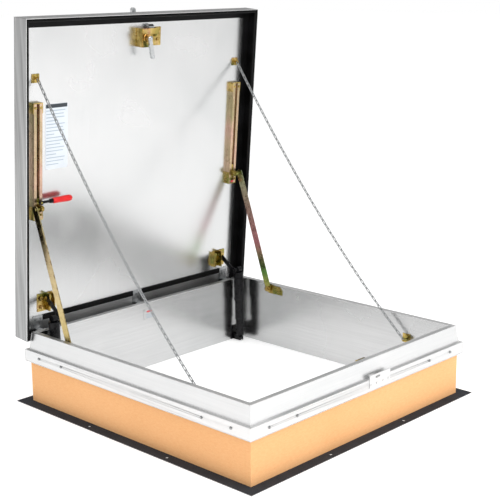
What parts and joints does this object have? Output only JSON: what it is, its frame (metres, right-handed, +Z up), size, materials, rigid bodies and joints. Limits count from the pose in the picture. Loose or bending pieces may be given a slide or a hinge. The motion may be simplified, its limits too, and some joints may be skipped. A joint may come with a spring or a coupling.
{
  "type": "access hatch with hinged cover on a curb",
  "caption": "Square roof and deck access hatch: an insulated curb with a spring-assisted hinged cover, hold-open arms, slam latch and safety chains.",
  "frame": {"origin": "centre of the square clear opening, on the underside of the curb's bottom flange", "axes": "+Z up out of the opening, +Y towards the hinge side, +X along the hinge line"},
  "size_m": [1.3716, 1.404, 1.6221],
  "materials": {
    "aluminium_mill": "mill finish, satin",
    "aluminium_liner": "smooth, soft sheen",
    "fibreboard": "rough fibreboard",
    "dark_membrane": "matte",
    "bare_steel": "brushed, zinc plated",
    "yellow_zinc": "yellow zinc plated",
    "pale_plate": "satin",
    "black_paint": "semi-gloss",
    "core_batt": "fibrous",
    "black_rubber": "matte",
    "trim_metal": "dull, satin",
    "channel_steel": "brushed, plated",
    "paper_label": "matte printed film",
    "pale_brass": "satin",
    "red_vinyl": "soft dipped vinyl",
    "zinc_chain": "zinc plated"
  },
  "bodies": {
    "curb": {"curb_wall_front": "aluminium_mill", "curb_wall_rear": "aluminium_mill", "curb_wall_left": "aluminium_mill", "curb_wall_right": "aluminium_mill", "cap_flashing_front": "aluminium_mill", "cap_flashing_rear": "aluminium_mill", "cap_flashing_left": "aluminium_mill", "cap_flashing_right": "aluminium_mill", "curb_insulation_front": "fibreboard", "curb_insulation_rear": "fibreboard", "curb_insulation_left": "fibreboard", "curb_insulation_right": "fibreboard", "flange_seal": "dark_membrane", "band_screws": "bare_steel", "strike": "yellow_zinc", "hasp_plate": "aluminium_mill", "data_plate": "pale_plate", "hinge_leaves_curb": "bare_steel", "hinge_pins": "bare_steel", "operator_shoes": "black_paint", "arm_brackets": "yellow_zinc", "chain_eyes_curb": "yellow_zinc"},
    "cover": {"cover_skin": "aluminium_mill", "cover_liner": "aluminium_liner", "cover_core": "core_batt", "cover_stiffeners": "aluminium_mill", "cover_gasket": "black_rubber", "hinge_seal": "black_rubber", "hinge_trim": "trim_metal", "hinge_leaves_cover": "bare_steel", "guide_channels": "channel_steel", "channel_ends": "yellow_zinc", "chain_eyes_cover": "yellow_zinc", "operator_brackets": "yellow_zinc", "operator_levers": "black_paint", "latch_case": "yellow_zinc", "info_label": "paper_label"},
    "latch_handle": {"handle_inside": "bare_steel", "handle_outside": "bare_steel", "spindle": "bare_steel", "latch_hub": "pale_brass"},
    "latch_bolt_slide": {"latch_bolt": "bare_steel"},
    "release_handle": {"release_lever": "black_paint", "release_grip": "red_vinyl"},
    "arm_left": {"hold_open_arm_left": "bare_steel"},
    "slider_left": {"arm_slider_left": "bare_steel"},
    "operator_foot_left": {"operator_lower_left": "black_paint", "operator_spring_left": "bare_steel"},
    "operator_mid_left": {"operator_middle_left": "black_paint"},
    "operator_top_left": {"operator_upper_left": "black_paint"},
    "chain_high_left": {"chain_upper_left": "zinc_chain"},
    "chain_low_left": {"chain_lower_left": "zinc_chain"},
    "arm_right": {"hold_open_arm_right": "bare_steel"},
    "slider_right": {"arm_slider_right": "bare_steel"},
    "operator_foot_right": {"operator_lower_right": "black_paint", "operator_spring_right": "bare_steel"},
    "operator_mid_right": {"operator_middle_right": "black_paint"},
    "operator_top_right": {"operator_upper_right": "black_paint"},
    "chain_high_right": {"chain_upper_right": "zinc_chain"},
    "chain_low_right": {"chain_lower_right": "zinc_chain"}
  },
  "joints": [
    {"name": "cover_hinge", "type": "hinge", "parent": "curb", "child": "cover", "pos_m": [0, 0.665, 0.2845], "axis": [1, 0, 0], "range_deg": [0, 85], "stiffness_Nm_per_rad": 115, "springref_deg": -29.79},
    {"name": "arm_pivot_left", "type": "hinge", "parent": "curb", "child": "arm_left", "pos_m": [-0.6, 0.418, 0.282], "axis": [1, 0, 0], "range_deg": [0, 109.95]},
    {"name": "slider_travel_left", "type": "slide", "parent": "cover", "child": "slider_left", "axis": [0, -0.0872, 0.9962], "range_m": [0, 0.27615]},
    {"name": "operator_pivot_left", "type": "hinge", "parent": "curb", "child": "operator_foot_left", "pos_m": [-0.556, 0.568, 0.018], "axis": [-1, 0, 0], "range_deg": [0, 3.65]},
    {"name": "operator_mid_slide_left", "type": "slide", "parent": "operator_foot_left", "child": "operator_mid_left", "axis": [0, -0.0206, -0.9998], "range_m": [0, 0.07834]},
    {"name": "operator_top_slide_left", "type": "slide", "parent": "operator_foot_left", "child": "operator_top_left", "axis": [0, -0.0206, -0.9998], "range_m": [0, 0.15665], "deforming": ["operator_spring_left"]},
    {"name": "chain_top_left", "type": "hinge", "parent": "cover", "child": "chain_high_left", "pos_m": [-0.57, 0.58167, 1.35733], "axis": [-1, 0, 0], "range_deg": [0, 48], "deforming": ["chain_upper_left"]},
    {"name": "chain_foot_left", "type": "hinge", "parent": "curb", "child": "chain_low_left", "pos_m": [-0.584, -0.395, 0.203], "axis": [-1, 0, 0], "range_deg": [0, 136.24], "deforming": ["chain_lower_left"]},
    {"name": "arm_pivot_right", "type": "hinge", "parent": "curb", "child": "arm_right", "pos_m": [0.6, 0.418, 0.282], "axis": [1, 0, 0], "range_deg": [0, 109.95]},
    {"name": "slider_travel_right", "type": "slide", "parent": "cover", "child": "slider_right", "axis": [0, -0.0872, 0.9962], "range_m": [0, 0.27615]},
    {"name": "operator_pivot_right", "type": "hinge", "parent": "curb", "child": "operator_foot_right", "pos_m": [0.556, 0.568, 0.018], "axis": [-1, 0, 0], "range_deg": [0, 3.65]},
    {"name": "operator_mid_slide_right", "type": "slide", "parent": "operator_foot_right", "child": "operator_mid_right", "axis": [0, -0.0206, -0.9998], "range_m": [0, 0.07834]},
    {"name": "operator_top_slide_right", "type": "slide", "parent": "operator_foot_right", "child": "operator_top_right", "axis": [0, -0.0206, -0.9998], "range_m": [0, 0.15665], "deforming": ["operator_spring_right"]},
    {"name": "chain_top_right", "type": "hinge", "parent": "cover", "child": "chain_high_right", "pos_m": [0.57, 0.58167, 1.35733], "axis": [-1, 0, 0], "range_deg": [0, 48], "deforming": ["chain_upper_right"]},
    {"name": "chain_foot_right", "type": "hinge", "parent": "curb", "child": "chain_low_right", "pos_m": [0.584, -0.395, 0.203], "axis": [-1, 0, 0], "range_deg": [0, 136.24], "deforming": ["chain_lower_right"]},
    {"name": "latch_turn", "type": "hinge", "parent": "cover", "child": "latch_handle", "pos_m": [-0.02, 0.58541, 1.49819], "axis": [0, -0.9962, -0.0872], "range_deg": [0, 40], "stiffness_Nm_per_rad": 2, "springref_deg": -34.38},
    {"name": "latch_bolt_travel", "type": "slide", "parent": "cover", "child": "latch_bolt_slide", "axis": [0, 0.0872, -0.9962], "range_m": [0, 0.016]},
    {"name": "release_turn", "type": "hinge", "parent": "slider_left", "child": "release_handle", "pos_m": [-0.571, 0.5997, 0.85298], "axis": [0, -0.9962, -0.0872], "range_deg": [0, 20], "stiffness_Nm_per_rad": 3, "springref_deg": -22.92}
  ],
  "couplings": [
    {"joint": "arm_pivot_left", "follows": "cover_hinge", "ratio": 1.2935},
    {"joint": "slider_travel_left", "follows": "cover_hinge", "m_per_rad": 0.18613},
    {"joint": "operator_pivot_left", "follows": "cover_hinge", "ratio": 0.042783},
    {"joint": "operator_mid_slide_left", "follows": "cover_hinge", "m_per_rad": 0.05279},
    {"joint": "operator_top_slide_left", "follows": "cover_hinge", "m_per_rad": 0.10558},
    {"joint": "chain_top_left", "follows": "cover_hinge", "ratio": 0.56457},
    {"joint": "chain_foot_left", "follows": "cover_hinge", "ratio": 1.6027},
    {"joint": "arm_pivot_right", "follows": "cover_hinge", "ratio": 1.2935},
    {"joint": "slider_travel_right", "follows": "cover_hinge", "m_per_rad": 0.18613},
    {"joint": "operator_pivot_right", "follows": "cover_hinge", "ratio": 0.042783},
    {"joint": "operator_mid_slide_right", "follows": "cover_hinge", "m_per_rad": 0.05279},
    {"joint": "operator_top_slide_right", "follows": "cover_hinge", "m_per_rad": 0.10558},
    {"joint": "chain_top_right", "follows": "cover_hinge", "ratio": 0.56457},
    {"joint": "chain_foot_right", "follows": "cover_hinge", "ratio": 1.6027},
    {"joint": "latch_bolt_travel", "follows": "latch_turn", "m_per_rad": 0.022904}
  ]
}
